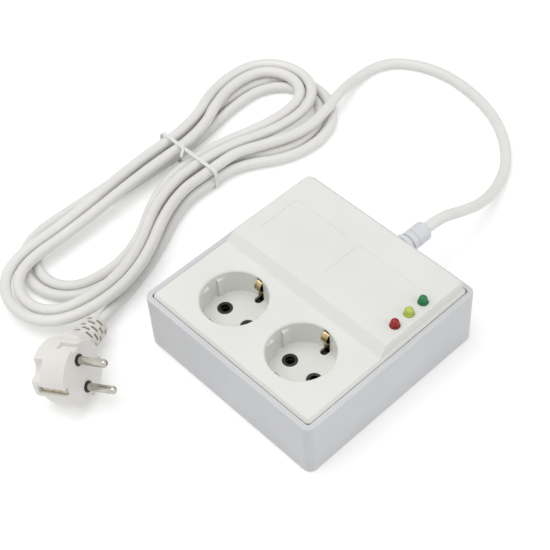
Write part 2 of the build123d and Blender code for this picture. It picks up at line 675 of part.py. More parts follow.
# Earth springs: a rolled root, a straight arm behind the cup's wall and a curled head in the slot
spring_places = [(x, side) for x in socket_x for side in (-1, 1)]
for number, (centre_x, side) in enumerate(spring_places, start=1):
    with BuildPart() as earth_spring:
        with BuildSketch(Plane.YZ.offset(centre_x)):
            with BuildLine():
                arm_y = SOCKET_Y + side * SPRING_OFFSET
                head_y = SOCKET_Y + side * (SPRING_HEAD + STRIP / 2)
                arm = Line((arm_y, root_z), (arm_y, arm_top))
                throat = TangentArc(arm @ 1, ((arm_y + head_y) / 2, (arm_top + head_z) / 2), tangent=(0, 1))
                TangentArc(throat @ 1, (head_y, head_z), tangent=throat % 1)
                tip = (head_y + side * SPRING_CURL, head_z + TIP_ABOVE_HEAD)
                TangentArc((head_y, head_z), tip, tangent=(0, 1))
            trace(line_width=STRIP)
            with Locations((arm_y, root_z)):
                Circle(SPRING_ROOT)
        extrude(amount=SPRING_WIDTH / 2, both=True)
    earth_spring.part.label = f"earth_spring_{number}"
    export_step(earth_spring.part, f"parts/earth_spring_{number}.step")

# Control board on its four stands, with its screws
with BuildPart() as control_board:
    with BuildSketch(Plane.XY.offset(board_bottom)):
        with Locations(BOARD_CENTRE):
            Rectangle(*BOARD)
        with Locations(*board_holes):
            Circle(BOARD_SCREW / 2 + THREAD_GAP, mode=Mode.SUBTRACT)
    extrude(amount=BOARD_THICKNESS)
control_board.part.label = "control_board"
export_step(control_board.part, "parts/control_board.step")

with BuildPart() as board_screws:
    with BuildSketch(Plane.XY.offset(board_top)):
        with Locations(*board_holes):
            Circle(BOARD_SCREW)
    extrude(amount=SMALL_HEAD_HEIGHT)
    with BuildSketch(Plane.XY.offset(board_top)):
        with Locations(*board_holes):
            Circle(BOARD_SCREW / 2)
    extrude(amount=-BOARD_THICKNESS - BOARD_THREAD)
board_screws.part.label = "board_screws"
export_step(board_screws.part, "parts/board_screws.step")

# Relay: a sealed box with rounded edges
with BuildPart() as relay:
    with BuildSketch(Plane.XY.offset(board_top)):
        with Locations(RELAY_AT):
            RectangleRounded(RELAY[0], RELAY[1], 1.0)
    extrude(amount=RELAY[2])
    fillet(relay.faces().sort_by(Axis.Z)[-1].edges(), 0.8)
relay.part.label = "relay"
export_step(relay.part, "parts/relay.step")

# Transformer: a laminated core of three legs, and the coil round the middle one
with BuildPart() as transformer_core:
    with BuildSketch(Plane.XZ.offset(-CORE_AT[1] - CORE[1] / 2)):
        with Locations((CORE_AT[0], board_top + CORE[2] / 2)):
            Rectangle(CORE[0], CORE[2])
        for side in (-1, 1):
            with Locations((CORE_AT[0] + side * (LEG + CORE_WINDOW / 2), board_top + CORE[2] / 2)):
                Rectangle(CORE_WINDOW, CORE[2] - 2 * LEG, mode=Mode.SUBTRACT)
    extrude(amount=CORE[1])
transformer_core.part.label = "transformer_core"
export_step(transformer_core.part, "parts/transformer_core.step")

with BuildPart() as transformer_coil:
    with BuildSketch(Plane.XY.offset(board_top + LEG + WIND_GAP)):
        with Locations(CORE_AT):
            RectangleRounded(2 * (LEG + CORE_WINDOW - WIND_GAP), COIL_DEPTH, 3.0)
            Rectangle(2 * (LEG + WIND_GAP), CORE[1] + 2 * WIND_GAP, mode=Mode.SUBTRACT)
    extrude(amount=CORE[2] - 2 * LEG - 2 * WIND_GAP)
transformer_coil.part.label = "transformer_coil"
export_step(transformer_coil.part, "parts/transformer_coil.step")

# Electrolytic capacitors: cans with a rolled groove near the foot
with BuildPart() as electrolytic_capacitors:
    for (can_x, can_y), can_radius, can_height in CANS:
        with BuildSketch(Plane.XZ.offset(-can_y)):
            with BuildLine():
                Polyline(
                    (can_x, board_top),
                    (can_x + can_radius, board_top),
                    (can_x + can_radius, board_top + 1.8),
                    (can_x + can_radius - 0.5, board_top + 2.2),
                    (can_x + can_radius, board_top + 2.6),
                    (can_x + can_radius, board_top + can_height - 0.6),
                    (can_x + can_radius - 0.6, board_top + can_height),
                    (can_x, board_top + can_height),
                    close=True,
                )
            make_face()
        revolve(axis=Axis((can_x, can_y, 0), (0, 0, 1)))
electrolytic_capacitors.part.label = "electrolytic_capacitors"
export_step(electrolytic_capacitors.part, "parts/electrolytic_capacitors.step")

with BuildPart() as film_capacitor:
    with BuildSketch(Plane.XY.offset(board_top)):
        with Locations(FILM_AT):
            RectangleRounded(FILM[0], FILM[1], 0.8)
    extrude(amount=FILM[2])
    fillet(film_capacitor.faces().sort_by(Axis.Z)[-1].edges(), 0.6)
film_capacitor.part.label = "film_capacitor"
export_step(film_capacitor.part, "parts/film_capacitor.step")

# Varistor: a dipped disc standing on its two leads
with BuildPart() as varistor:
    with BuildSketch(Plane.XZ.offset(-VARISTOR_AT[1])):
        with Locations((VARISTOR_AT[0], board_top + VARISTOR / 2 + 2.0)):
            Circle(VARISTOR / 2)
    extrude(amount=2.0, both=True)
    fillet(varistor.edges(), 1.2)
    with BuildSketch(Plane.XY.offset(board_top)):
        with Locations((VARISTOR_AT[0] - 2.5, VARISTOR_AT[1]), (VARISTOR_AT[0] + 2.5, VARISTOR_AT[1])):
            Circle(0.4)
    extrude(amount=VARISTOR / 2)
varistor.part.label = "varistor"
export_step(varistor.part, "parts/varistor.step")

# Fuse: a glass tube with end caps between two spring clips
fuse_z = board_top + FUSE_RISE
fuse_left = FUSE_AT[0] - FUSE_LENGTH / 2
cap_centres = (fuse_left + FUSE_CAP_LENGTH / 2, fuse_left + FUSE_LENGTH - FUSE_CAP_LENGTH / 2)
with BuildPart() as fuse:
    with BuildSketch(Plane.YZ.offset(fuse_left)):
        with Locations((FUSE_AT[1], fuse_z)):
            Circle(FUSE_GLASS / 2)
    extrude(amount=FUSE_LENGTH)
    for cap_x in cap_centres:
        with BuildSketch(Plane.YZ.offset(cap_x)):
            with Locations((FUSE_AT[1], fuse_z)):
                Circle(FUSE_CAP / 2)
        extrude(amount=FUSE_CAP_LENGTH / 2, both=True)
fuse.part.label = "fuse"
export_step(fuse.part, "parts/fuse.step")

with BuildPart() as fuse_clips:
    for cap_x in cap_centres:
        with BuildSketch(Plane.YZ.offset(cap_x)):
            with Locations((FUSE_AT[1], fuse_z)):
                Circle(FUSE_CAP / 2 + CLIP_STRIP)
            with Locations((FUSE_AT[1], board_top + CLIP_FOOT[1] / 2)):
                Rectangle(*CLIP_FOOT)
            with Locations((FUSE_AT[1], fuse_z)):
                Circle(FUSE_CAP / 2 + 0.05, mode=Mode.SUBTRACT)
            with Locations((FUSE_AT[1], fuse_z + CLIP_MOUTH_RISE)):
                Rectangle(*CLIP_MOUTH, mode=Mode.SUBTRACT)
        extrude(amount=CLIP_WIDTH / 2, both=True)
fuse_clips.part.label = "fuse_clips"
export_step(fuse_clips.part, "parts/fuse_clips.step")

# Control chip with its two rows of bent legs
with BuildPart() as control_chip:
    with BuildSketch(Plane.XY.offset(board_top + CHIP_STAND)):
        with Locations(CHIP_AT):
            Rectangle(CHIP[0], CHIP[1])
    extrude(amount=CHIP[2])
    with BuildSketch(Plane.XY.offset(board_top)):
        with GridLocations(CHIP_LEG_PITCH, CHIP_LEG_ROWS, 7, 2):
            with Locations(CHIP_AT):
                Rectangle(CHIP_LEG[0], CHIP_LEG[1])
    extrude(amount=CHIP_LEG[2])
control_chip.part.label = "control_chip"
export_step(control_chip.part, "parts/control_chip.step")

# Resistors and diodes: bodies lying on the board between two bent leads
axial_kinds = (
    ("resistors", 1.2, 6.4, [(RESISTORS_AT[0], RESISTORS_AT[1] + RESISTOR_PITCH * row) for row in range(6)]),
    ("diodes", 1.4, 5.0, [(DIODES_AT[0], DIODES_AT[1] + DIODE_PITCH * row) for row in range(3)]),
)
for name, body_radius, body_length, places in axial_kinds:
    with BuildPart() as axial_parts:
        for place_x, place_y in places:
            reach = body_length / 2 + 1.2
            with BuildSketch(Plane.XZ.offset(-place_y)):
                with BuildLine():
                    Polyline(
                        (place_x - reach, board_top),
                        (place_x - reach, board_top + body_radius),
                        (place_x + reach, board_top + body_radius),
                        (place_x + reach, board_top),
                    )
                trace(line_width=LEAD_WIRE)
            extrude(amount=LEAD_WIRE / 2, both=True)
            with BuildSketch(Plane.YZ.offset(place_x - body_length / 2)):
                with Locations((place_y, board_top + body_radius)):
                    Circle(body_radius)
            extrude(amount=body_length)
    axial_parts.part.label = name
    export_step(axial_parts.part, f"parts/{name}.step")

# Terminal block with three clamp ways, and its screws
with BuildPart() as terminal_block:
    with BuildSketch(Plane.XY.offset(board_top)):
        with Locations(TERMINAL_AT):
            Rectangle(TERMINAL[0], TERMINAL[1])
    extrude(amount=TERMINAL[2])
    with BuildSketch(Plane.XY.offset(terminal_top)):
        with Locations(*terminal_ways):
            Circle(TERMINAL_WELL / 2)
    extrude(amount=-TERMINAL_WELL_DEPTH, mode=Mode.SUBTRACT)
terminal_block.part.label = "terminal_block"
export_step(terminal_block.part, "parts/terminal_block.step")

with BuildPart() as terminal_screws:
    with BuildSketch(Plane.XY.offset(terminal_top - TERMINAL_WELL_DEPTH)):
        with Locations(*terminal_ways):
            Circle(TERMINAL_WELL / 2 - THREAD_GAP)
    extrude(amount=TERMINAL_WELL_DEPTH - 1.0)
    with BuildSketch(Plane.XY.offset(terminal_top - 1.8)):
        with Locations(*terminal_ways):
            Rectangle(TERMINAL_WELL - 2 * THREAD_GAP, 0.6)
    extrude(amount=1.0, mode=Mode.SUBTRACT)
terminal_screws.part.label = "terminal_screws"
export_step(terminal_screws.part, "parts/terminal_screws.step")

# Signal lamps on their own small board under the raised field
for name, lamp_y in zip(("red", "yellow", "green"), lamp_rows):
    dome_foot = COVER_HIGH + LAMP_HEIGHT - LAMP_BODY / 2
    with BuildPart() as signal_lamp:
        with BuildSketch(Plane.XY.offset(lamp_foot)):
            with Locations((LAMP_X, lamp_y)):
                Circle(LAMP_FLANGE / 2)
        extrude(amount=COVER_HIGH + LAMP_COLLAR - lamp_foot)
        fillet(signal_lamp.faces().sort_by(Axis.Z)[-1].edges(), 0.25)
        with BuildSketch(Plane.XZ.offset(-lamp_y)):
            with BuildLine():
                foot = Line((LAMP_X, lamp_foot), (LAMP_X + LAMP_BODY / 2, lamp_foot))
                wall = Line(foot @ 1, (LAMP_X + LAMP_BODY / 2, dome_foot))
                dome = RadiusArc(wall @ 1, (LAMP_X, COVER_HIGH + LAMP_HEIGHT), -LAMP_BODY / 2)
                Line(dome @ 1, foot @ 0)
            make_face()
        revolve(axis=Axis((LAMP_X, lamp_y, 0), (0, 0, 1)))
    signal_lamp.part.label = f"lamp_{name}"
    export_step(signal_lamp.part, f"parts/lamp_{name}.step")

with BuildPart() as lamp_board:
    with BuildSketch(Plane.XY.offset(lamp_foot)):
        with Locations((LAMP_X, LAMP_Y)):
            Rectangle(*LAMP_BOARD)
        with Locations(*peg_places):
            Circle(PEG + LAMP_GAP / 2, mode=Mode.SUBTRACT)
    extrude(amount=-BOARD_THICKNESS)
lamp_board.part.label = "lamp_board"
export_step(lamp_board.part, "parts/lamp_board.step")

with BuildPart() as lamp_wires:
    with BuildSketch(Plane.XY.offset(board_top)):
        with Locations((LAMP_X + LAMP_WIRE_SHIFT, LAMP_Y)):
            with GridLocations(0, LAMP_WIRE_PITCH, 1, 4):
                Circle(0.7)
    extrude(amount=lamp_foot - BOARD_THICKNESS - board_top)
lamp_wires.part.label = "lamp_wires"
export_step(lamp_wires.part, "parts/lamp_wires.step")

# Inner wires: three from the cord to the terminal block, three from the board to the contact bars
wire_entry = board_top + WIRE_RISE
wire_drop_y = terminal_face + WIRE_DROP
mains_routes = [
    [
        (GLAND_X + step * 2.0, tail_end, GLAND_Z),
        (GLAND_X + step * 2.0, wire_drop_y, GLAND_Z),
        (way_x, wire_drop_y, wire_entry),
        (way_x, terminal_face, wire_entry),
    ]
    for step, (way_x, _) in zip((-1, 0, 1), terminal_ways)
]
socket_wire_y = BOARD_CENTRE[1] - SOCKET_WIRE_INSET
socket_wire_z = board_top + SOCKET_WIRE_RISE
wire_ends = (
    (SOCKET_Y, BRACKET_BASE),
    (SOCKET_Y - BAR_OFFSET - STRIP / 2, TULIP_FOOT + BAR_HEIGHT),
    (SOCKET_Y + BAR_OFFSET + STRIP / 2, TULIP_FOOT + BAR_HEIGHT),
)
socket_routes = [
    [
        (wire_x, socket_wire_y, board_top),
        (wire_x, socket_wire_y, socket_wire_z),
        (wire_x, end_y, socket_wire_z),
        (wire_x, end_y, end_z),
    ]
    for wire_x, (end_y, end_z) in zip([BOARD_CENTRE[0] + x for x in SOCKET_WIRE_X], wire_ends)
]
for name, routes in (("mains_wires", mains_routes), ("socket_wires", socket_routes)):
    with BuildPart() as wire_group:
        for route in routes:
            with BuildLine() as wire_path:
                FilletPolyline(*route, radius=WIRE_BEND)
            with BuildSketch(Plane(origin=route[0], z_dir=wire_path.line % 0)):
                Circle(WIRE / 2)
            sweep()
    wire_group.part.label = name
    export_step(wire_group.part, f"parts/{name}.step")

# Cord gland: a flange outside the wall, a slit neck, a grooved barrel, and a bead inside the wall
gland_profile = [
    (GLAND_NECK, -WALL),
    (GLAND_NECK, 0.0),
    (GLAND_FLANGE[0], 0.0),
    (GLAND_FLANGE[0], GLAND_FLANGE[1]),
    (GLAND_GROOVE, GLAND_FLANGE[1] + 0.4),
    (GLAND_GROOVE, GLAND_FLANGE[1] + 1.6),
    (GLAND_RADIUS, GLAND_FLANGE[1] + 1.8),
    (GLAND_RADIUS, GLAND_RING),
    (GLAND_RADIUS - 0.6, GLAND_RING + 0.3),
    (GLAND_RADIUS, GLAND_RING + 0.7),
    (GLAND_RADIUS, GLAND_LENGTH - 1.2),
    (GLAND_RADIUS - 1.0, GLAND_LENGTH),
    (CORD / 2 + CORD_BORE_GAP, GLAND_LENGTH),
    (CORD / 2 + CORD_BORE_GAP, -WALL - GLAND_BEAD),
    (GLAND_RADIUS, -WALL - GLAND_BEAD),
    (GLAND_RADIUS, -WALL),
]
with BuildPart() as cord_gland:
    with BuildSketch(Plane.XY.offset(GLAND_Z)):
        with BuildLine():
            Polyline(*[(GLAND_X + radius, CASE / 2 + depth) for radius, depth in gland_profile], close=True)
        make_face()
    revolve(axis=Axis((GLAND_X, 0, GLAND_Z), (0, 1, 0)))
    with BuildSketch(Plane.XZ.offset(-CASE / 2 - GLAND_FLANGE[1] - 0.4)):
        for side in (-1, 1):
            with Locations((GLAND_X + side * GLAND_GROOVE, GLAND_Z + GLAND_SLOT[1] / 3)):
                Rectangle(*GLAND_SLOT)
    extrude(amount=-1.2, mode=Mode.SUBTRACT)
cord_gland.part.label = "cord_gland"
export_step(cord_gland.part, "parts/cord_gland.step")

# The cord's end inside the case, from the gland's mouth to the clamp
gland_mouth = CASE / 2 + GLAND_LENGTH
with BuildPart() as cord_tail:
    with BuildSketch(Plane.XZ.offset(-tail_end)):
        with Locations((GLAND_X, GLAND_Z)):
            Circle(CORD / 2)
    extrude(amount=-(gland_mouth - tail_end))
cord_tail.part.label = "cord_tail"
export_step(cord_tail.part, "parts/cord_tail.step")

with BuildPart() as cord_clamp:
    with BuildSketch(Plane.XZ.offset(-CLAMP_Y - CLAMP[1] / 2)):
        with Locations((GLAND_X, (clamp_top + clamp_height) / 2)):
            Rectangle(CLAMP[0], clamp_height - clamp_top)
        with Locations((GLAND_X, GLAND_Z)):
            Circle(CORD / 2 + CORD_BORE_GAP, mode=Mode.SUBTRACT)
        with Locations((GLAND_X, (clamp_top + GLAND_Z) / 2)):
            Rectangle(CORD + 2 * CORD_BORE_GAP, GLAND_Z - clamp_top, mode=Mode.SUBTRACT)
    extrude(amount=CLAMP[1])
    with BuildSketch(Plane.XY.offset(clamp_top)):
        with Locations(*clamp_holes):
            Circle(BOARD_SCREW / 2 + THREAD_GAP)
    extrude(amount=clamp_height - clamp_top, mode=Mode.SUBTRACT)
cord_clamp.part.label = "cord_clamp"
export_step(cord_clamp.part, "parts/cord_clamp.step")

with BuildPart() as clamp_screws:
    with BuildSketch(Plane.XY.offset(clamp_height)):
        with Locations(*clamp_holes):
            Circle(BOARD_SCREW)
    extrude(amount=SMALL_HEAD_HEIGHT)
    with BuildSketch(Plane.XY.offset(clamp_height)):
        with Locations(*clamp_holes):
            Circle(BOARD_SCREW / 2)
    extrude(amount=clamp_top - CLAMP_THREAD - clamp_height)
clamp_screws.part.label = "clamp_screws"
export_step(clamp_screws.part, "parts/clamp_screws.step")

# Hank: one tube in four loops, drawn in at the waist, that spirals in on the upper layer and out again on
# the lower one; each loop has eight stations with level headings
def mixed(pair, share):
    return pair[0] + (pair[1] - pair[0]) * share


def hank_station(number):
    """Place and heading of a station, counted from the upper layer's outermost shoulder."""
    spread = abs(HANK_MIDDLE - number / 8)
    sunk = min(max((number - HANK_REVERSAL) / 2, 0), 1)
    height = mixed((UPPER_LANE, FLOOR_LANE), sunk)
    over_lead = height + mixed((LEAD_LIFT, 0.0), sunk)
    shoulder_y = mixed(SHOULDER_Y, sunk)
    upper_x = mixed(UPPER_LOBE_X, sunk)
    lower_x = mixed(LOWER_LOBE_X, sunk)
    lower_y = mixed(LOWER_LOBE_Y, sunk)
    lobe = LOOP_INNER + LOOP_STEP * spread
    waist = WAIST_INNER + WAIST_STEP * spread
    reach = LOOP_INNER + APEX_STEP * spread
    places = [
        (upper_x + lobe, shoulder_y, height),
        (WAIST_X + waist, WAIST_Y, height + WAIST_LIFT),
        (lower_x + lobe, lower_y, over_lead),
        (lower_x, lower_y - reach, height),
        (lower_x - lobe, lower_y, height),
        (WAIST_X - waist, WAIST_Y, height + WAIST_LIFT),
        (upper_x - lobe, shoulder_y, height),
        (upper_x, shoulder_y + reach, height),
    ]
    headings = [(0, -1), (0, -1), (0, -1), (-1, 0), (0, 1), (0, 1), (0, 1), (1, 0)]
    return Vector(*places[number % 8]), Vector(*headings[number % 8])


def meeting_point(start, start_heading, end, end_heading):
    """Where two arcs meet that join two stations and keep both headings."""
    chord = end - start
    both = start_heading + end_heading
    bend = 2 * (1 - start_heading.dot(end_heading))
    if bend < 0.001:
        return (start + end) * 0.5
    along = chord.dot(both)
    arm = (math.sqrt(along**2 + bend * chord.dot(chord)) - along) / bend
    return (start + end + (start_heading - end_heading) * arm) * 0.5


hank_stations = [hank_station(number) for number in range(HANK_START, HANK_STATIONS + 1)]
hank_points = []
with BuildPart() as cord_hank:
    with BuildLine() as hank_path:
        first, heading = hank_stations[0]
        Line(first - heading * CORD, first)
        for (start, start_heading), (end, end_heading) in zip(hank_stations, hank_stations[1:]):
            middle = meeting_point(start, start_heading, end, end_heading)
            inward = TangentArc(start, middle, tangent=start_heading)
            outward = TangentArc(middle, end, tangent=inward % 1)
            hank_points += [arc @ (step / 8) for arc in (inward, outward) for step in range(8)]
        last, heading = hank_stations[-1]
        Line(last, last + heading * CORD)
    with BuildSketch(Plane(origin=hank_path.line @ 0, z_dir=hank_path.line % 0)):
        Circle(CORD / 2)
    sweep()
cord_hank.part.label = "cord_hank"
export_step(cord_hank.part, "parts/cord_hank.step")

travelled = [0.0]
for before, after in zip(hank_points, hank_points[1:]):
    travelled.append(travelled[-1] + (after - before).length)
least_gap = min(
    math.dist(tuple(hank_points[one]), tuple(hank_points[other])) - CORD
    for one in range(len(hank_points))
    for other in range(one)
    if travelled[one] - travelled[other] > 5 * CORD
)
hank_length = hank_path.wires()[0].length
section = math.pi * CORD**2 / 4
print("hank length", round(hank_length, 1), "least gap", round(least_gap, 2))
print("hank volume ratio", cord_hank.part.volume / (hank_length * section))


# Free cord: straight runs joined by arcs as large as the runs allow
def corner_radii(points):
    """The arc at each inner point of a route, from its two runs and its turn."""
    radii = []
    for before, corner, after in zip(points, points[1:], points[2:]):
        first = Vector(*corner) - Vector(*before)
        second = Vector(*after) - Vector(*corner)
        turn = math.radians(first.get_angle(second))
        radii.append(0.45 * min(first.length, second.length) / math.tan(turn / 2))
    return radii


# The plug's frame: its face looks along its pins, and the cord leaves on its -X side
pitched = Vector(1, 0, 0).rotate(Axis.Y, -PLUG_PITCH).rotate(Axis.Z, PLUG_YAW)
level = Vector(0, -1, 0).rotate(Axis.Z, PLUG_YAW)
plug_side = level.rotate(Axis((0, 0, 0), pitched), -PLUG_ROLL)
plug_plane = Plane(origin=PLUG_AT, x_dir=plug_side, z_dir=pitched)
relief_end = plug_plane.from_local_coords(Vector(-RELIEF_FAR, 0, -RELIEF_BACK))
relief_start = relief_end - plug_side * RELIEF_STRAIGHT
hank_begin = hank_stations[0][0]
hank_end = hank_stations[-1][0]
cord_route = [
    *CORD_POINTS,
    tuple(hank_begin + Vector(0, CORD_ARRIVAL, 0)),
    tuple(hank_begin + Vector(0, CORD, 0)),
]
lead_route = [
    tuple(hank_end - Vector(0, CORD, 0)),
    tuple(hank_end - Vector(0, LEAD_DEPARTURE, 0)),
    *LEAD_POINTS,
    tuple(relief_start),
    tuple(relief_end),
]
print("plug frame", pitched, plug_side, "relief end", relief_end)

for name, points in (("cord", cord_route), ("cord_lead", lead_route)):
    radii = corner_radii(points)
    print(name, "radii", [round(radius, 1) for radius in radii])
    with BuildPart() as cord_tube:
        with BuildLine() as cord_path:
            FilletPolyline(*points, radius=radii)
        with BuildSketch(Plane(origin=points[0], z_dir=cord_path.line % 0)):
            Circle(CORD / 2)
        sweep()
    length = cord_path.wires()[0].length
    print(name, "length", round(length, 1), "volume ratio", cord_tube.part.volume / (length * section))
    cord_tube.part.label = name
    export_step(cord_tube.part, f"parts/{name}.step")


# Tie: a thin band round the waist of the hank, with its twisted ends on top
waist_lanes = [place.X for place, _ in hank_stations if place.Y == WAIST_Y]
tie_left = min(waist_lanes) - CORD / 2 - TIE_GAP
tie_right = max(waist_lanes) + CORD / 2 + TIE_GAP
tie_bottom = FLOOR_LANE + WAIST_LIFT - CORD / 2 - TIE_GAP
tie_top = UPPER_LANE + WAIST_LIFT + CORD / 2 + TIE_GAP
tie_span = tie_right - tie_left
tie_rise = tie_top - tie_bottom
with BuildPart() as twist_tie:
    with BuildSketch(Plane.XZ.offset(-WAIST_Y - TIE_WIDTH / 2)):
        with Locations(((tie_left + tie_right) / 2, (tie_bottom + tie_top) / 2)):
            RectangleRounded(tie_span + 2 * TIE_THICKNESS, tie_rise + 2 * TIE_THICKNESS, TIE_CORNER)
            RectangleRounded(tie_span, tie_rise, TIE_CORNER - TIE_THICKNESS, mode=Mode.SUBTRACT)
    extrude(amount=TIE_WIDTH)
    with BuildSketch(Plane.XY.offset(tie_top + TIE_THICKNESS)):
        with BuildLine():
            Polyline(*[(WAIST_X + x, WAIST_Y + y) for x, y in TIE_TAIL])
        trace(line_width=TIE_TAIL_WIDTH)
    extrude(amount=TIE_TAIL_WIDTH / 2)
twist_tie.part.label = "twist_tie"
export_step(twist_tie.part, "parts/twist_tie.step")

# Plug: a round body on the pins' axis, with face notches, finger grips, earth grooves and a side neck
rear = plug_plane.offset(-PLUG_LENGTH)
with BuildPart() as plug_body:
    with BuildSketch(rear):
        Circle(PLUG / 2)
    extrude(amount=PLUG_LENGTH)
    fillet(plug_body.edges().sort_by(Axis(PLUG_AT, plug_plane.z_dir))[0], REAR_ROUND)
    # Neck and strain relief towards the cord
    for distance, depth, width, thickness, corner in NECK:
        place = plug_plane.from_local_coords((-distance, 0, -depth))
        with BuildSketch(Plane(origin=place, x_dir=plug_plane.y_dir, z_dir=-plug_plane.x_dir)):
            RectangleRounded(width, thickness, corner)
    loft(ruled=True)
    relief_near = plug_plane.from_local_coords((-RELIEF_NEAR, 0, -RELIEF_BACK))
    relief_plane = Plane(origin=relief_near, x_dir=plug_plane.y_dir, z_dir=-plug_plane.x_dir)
    relief_length = RELIEF_FAR - RELIEF_NEAR
    nose_plane = relief_plane.offset(relief_length - RELIEF_NOSE)
    with BuildSketch(relief_plane):
        Circle(RELIEF_WIDE / 2)
    with BuildSketch(nose_plane):
        Circle(RELIEF_NARROW / 2)
    loft()
    with BuildSketch(nose_plane):
        Circle(RELIEF_NARROW / 2)
    with BuildSketch(relief_plane.offset(relief_length)):
        Circle(CORD / 2 + RELIEF_LIP)
    loft()
    # Notches for the socket's guides, and grooves for the earth strips
    with BuildSketch(plug_plane):
        with Locations((0, PLUG / 2), (0, -PLUG / 2)):
            Rectangle(PLUG_NOTCH[0], 2 * PLUG_NOTCH[1])
    extrude(amount=-PLUG_LENGTH * 0.45, mode=Mode.SUBTRACT)
    with BuildSketch(plug_plane):
        with Locations((PLUG / 2, 0), (-PLUG / 2, 0)):
            Rectangle(2 * EARTH_GROOVE[1], EARTH_GROOVE[0])
    extrude(amount=-STRIP_SET_IN - EARTH_STRIP[2] - STRIP_END_GAP, mode=Mode.SUBTRACT)
    with BuildSketch(plug_plane):
        with Locations((0, PIN_PITCH / 2), (0, -PIN_PITCH / 2)):
            Circle(PIN_ROOT_WIDTH / 2)
    extrude(amount=-PIN_ROOT, mode=Mode.SUBTRACT)
    # Finger grips, scooped from both sides near the rear
    for side in (-1, 1):
        with BuildSketch(rear):
            with Locations((GRIP_AT[0], side * GRIP_AT[1])):
                Circle(GRIP_RADIUS)
        extrude(amount=GRIP_DEPTH, mode=Mode.SUBTRACT)
plug_body.part.label = "plug_body"
export_step(plug_body.part, "parts/plug_body.step")

with BuildPart() as plug_pins:
    for side in (-1, 1):
        with BuildSketch(plug_plane.offset(-PIN_ROOT)):
            with Locations((0, side * PIN_PITCH / 2)):
                Circle(PIN_ROOT_WIDTH / 2)
        extrude(amount=PIN_ROOT + COLLAR_HEIGHT + PIN_SHOULDER_GAP)
        with BuildSketch(plug_plane.offset(COLLAR_HEIGHT + PIN_SHOULDER_GAP)):
            with Locations((0, side * PIN_PITCH / 2)):
                Circle(PIN / 2)
        extrude(amount=PIN_LENGTH - COLLAR_HEIGHT - PIN_SHOULDER_GAP)
    pin_tips = plug_pins.faces().sort_by(Axis(PLUG_AT, plug_plane.z_dir))[-2:]
    fillet(pin_tips.edges(), PIN / 2 - 0.5)
plug_pins.part.label = "plug_pins"
export_step(plug_pins.part, "parts/plug_pins.step")

with BuildPart() as pin_collars:
    with BuildSketch(plug_plane):
        with Locations((0, PIN_PITCH / 2), (0, -PIN_PITCH / 2)):
            Circle(COLLAR / 2)
            Circle(PIN_ROOT_WIDTH / 2, mode=Mode.SUBTRACT)
    extrude(amount=COLLAR_HEIGHT)
pin_collars.part.label = "pin_collars"
export_step(pin_collars.part, "parts/pin_collars.step")

with BuildPart() as plug_earth_strips:
    for side in (-1, 1):
        with BuildSketch(plug_plane.offset(-STRIP_SET_IN)):
            with Locations((side * (PLUG / 2 - EARTH_GROOVE[1] + EARTH_STRIP[1] / 2), 0)):
                Rectangle(EARTH_STRIP[1], EARTH_STRIP[0])
        extrude(amount=-EARTH_STRIP[2])
plug_earth_strips.part.label = "plug_earth_strips"
export_step(plug_earth_strips.part, "parts/plug_earth_strips.step")
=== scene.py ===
import json
import math

import bpy
from mathutils import Matrix, Vector


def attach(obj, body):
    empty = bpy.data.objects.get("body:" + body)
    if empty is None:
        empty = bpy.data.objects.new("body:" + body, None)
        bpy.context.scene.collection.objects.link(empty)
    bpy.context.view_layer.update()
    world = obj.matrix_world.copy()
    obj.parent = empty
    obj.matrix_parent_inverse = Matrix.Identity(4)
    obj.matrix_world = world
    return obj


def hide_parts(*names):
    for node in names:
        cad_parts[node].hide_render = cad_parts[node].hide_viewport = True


# Refrigerator voltage protector on a pale table: a white moulded case with two socket recesses and three signal
# lamps, its mains cord in a tied hank, and the plug lying beside it. Metres, as the frame.

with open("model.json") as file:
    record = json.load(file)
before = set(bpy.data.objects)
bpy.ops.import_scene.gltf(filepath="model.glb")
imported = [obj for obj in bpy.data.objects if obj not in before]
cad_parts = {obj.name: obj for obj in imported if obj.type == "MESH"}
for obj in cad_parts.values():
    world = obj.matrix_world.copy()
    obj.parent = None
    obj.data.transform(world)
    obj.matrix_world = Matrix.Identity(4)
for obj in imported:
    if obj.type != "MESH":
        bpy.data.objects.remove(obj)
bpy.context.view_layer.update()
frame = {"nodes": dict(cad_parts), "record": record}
nodes = frame["nodes"]
MM = 0.001

# Camera, set to the photograph's viewing angle: degrees, and its place in metres
CAMERA_AZIMUTH = 49.49
CAMERA_ELEVATION = 49.72
CAMERA_ROLL = -4.3
CAMERA_LENS = 88.26
CAMERA_SENSOR = 36.0
CAMERA_REACH = 20
CAMERA_PLACE = (0.3540, -0.3264, 0.6266)

# Studio: each lamp's name, place, size and power; all of them look at the frame's origin
LAMPS = [
    ("overhead_softbox", (-0.3, -0.3, 1.5), 1.4, 11.5),
    ("front_fill", (-0.3, -1.5, 0.7), 1.4, 1),
    ("side_fill", (1.4, 0.6, 0.7), 1.2, 5),
]
FLOOR_SIZE = 6
FLOOR_GLOW = 0.27
WORLD_LIGHT = 0.5
WORLD_SEEN = 1.0

# Finishes: sizes of the patterns, where the two tones meet on a noise of 0 to 1, and how far gloss strays
DRIFT = 40 * MM
DRIFT_TONES = (0.35, 0.65)
GRAIN_RELIEF = 0.05 * MM
PLASTIC_GLOSS = (-0.05, 0.07)
PLASTIC_IOR = 1.53
PATCH = 3 * MM
PATCH_TONES = (0.4, 0.6)
METAL_GLOSS = (-0.06, 0.1)
RESIN_IOR = 1.54
RESIN_ROUGHNESS = 0.12
RESIN_SHEEN = 0.35
RESIN_EDGE = 0.35

# The Mix node's sockets for colours, which share their names with its other ones
MIX_FIRST_COLOUR = 6
MIX_SECOND_COLOUR = 7
MIX_COLOUR_RESULT = 2

